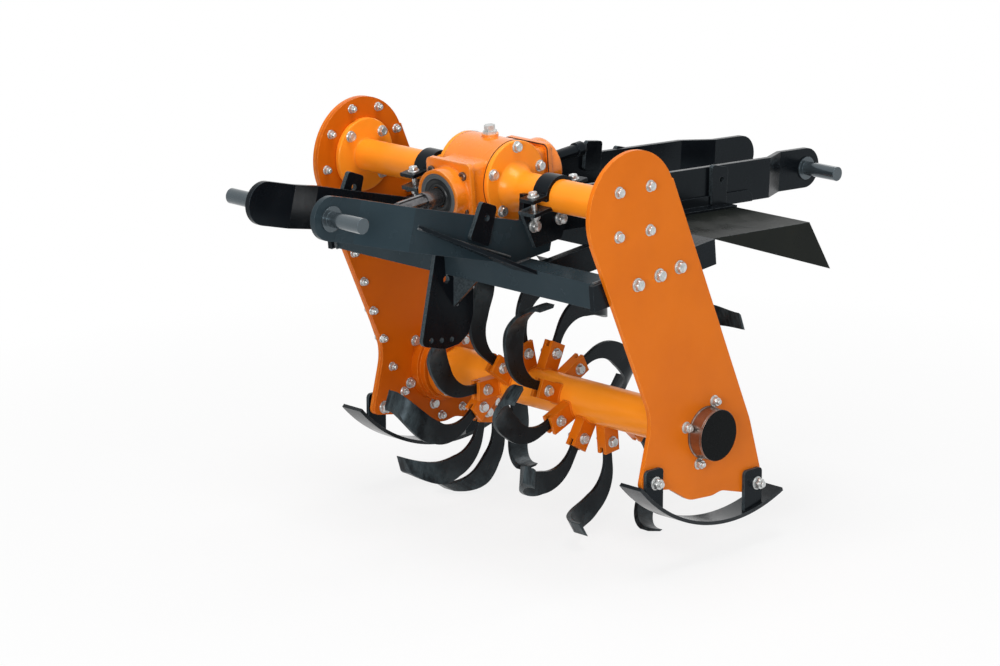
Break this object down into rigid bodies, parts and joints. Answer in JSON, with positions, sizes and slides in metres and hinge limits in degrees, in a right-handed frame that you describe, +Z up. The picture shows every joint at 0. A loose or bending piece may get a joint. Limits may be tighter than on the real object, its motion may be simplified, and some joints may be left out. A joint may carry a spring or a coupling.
{
  "type": "tractor-mounted rotary tiller (rotavator), narrow, side-chain drive",
  "caption": "Narrow tractor-mounted rotary tiller with a splined input shaft, side gear case, curved tines on a turning rotor, skids and front and rear hitch arms.",
  "frame": {"origin": "midway between the two front hitch pins, on their common axis, where the tractor's lower links carry the machine", "axes": "+X to the machine's right, +Y to its rear, +Z up, in the stance in which the tractor carries it"},
  "size_m": [0.93, 1.5319, 0.9166],
  "materials": {
    "orange_paint": "gloss enamel over steel and cast iron",
    "black_paint": "semi-gloss enamel over mill steel",
    "bright_steel": "turned and ground",
    "turned_steel": "turned, lightly oiled",
    "zinc_plate": "bright zinc plated"
  },
  "bodies": {
    "chassis": {"bearing_housing_right": "turned_steel", "brace_left": "black_paint", "brace_right": "black_paint", "breather_plug": "zinc_plate", "centre_plate": "black_paint", "clamp_seat_left": "black_paint", "clamp_seat_right": "black_paint", "clamp_strap_left": "black_paint", "clamp_strap_right": "black_paint", "cover_angle_left": "black_paint", "cover_angle_right": "black_paint", "cross_tube_left": "orange_paint", "cross_tube_right": "orange_paint", "front_arm_left": "black_paint", "front_arm_right": "black_paint", "front_cross_member": "black_paint", "front_pin_left": "black_paint", "front_pin_right": "black_paint", "front_tab_left": "black_paint", "front_tab_right": "black_paint", "gear_case_cover": "orange_paint", "gear_case_pan": "orange_paint", "gearbox_body": "orange_paint", "gearbox_front_housing": "orange_paint", "gearbox_rear_cap": "orange_paint", "gearbox_rear_stub": "black_paint", "hub_left": "orange_paint", "inner_rail_left": "black_paint", "inner_rail_right": "black_paint", "rear_arm_left": "black_paint", "rear_arm_right": "black_paint", "rear_cover": "black_paint", "rear_cross_member": "black_paint", "rear_lug_left": "black_paint", "rear_pin_left": "black_paint", "rear_pin_right": "black_paint", "rear_tab_left": "black_paint", "rear_tab_right": "black_paint", "side_plate_right": "orange_paint", "side_rail_left": "black_paint", "side_rail_right": "black_paint", "skid_brackets_left": "black_paint", "skid_brackets_right": "black_paint", "skid_left": "black_paint", "skid_right": "black_paint"},
    "rotor": {"rotor_end_left": "orange_paint", "rotor_end_right": "bright_steel", "rotor_tube": "orange_paint", "tine_holders": "orange_paint", "tines": "black_paint"},
    "input_shaft": {"input_shaft": "bright_steel"}
  },
  "joints": [
    {"name": "rotor_spin", "type": "hinge", "parent": "chassis", "child": "rotor", "pos_m": [0, 0.781, -0.536], "axis": [1, 0, 0], "continuous": true},
    {"name": "input_spin", "type": "hinge", "parent": "chassis", "child": "input_shaft", "pos_m": [0, 0.35325, -0.0372], "axis": [0, -0.9954, -0.0958], "continuous": true}
  ],
  "couplings": [
    {"joint": "input_spin", "follows": "rotor_spin", "ratio": 2.45}
  ]
}
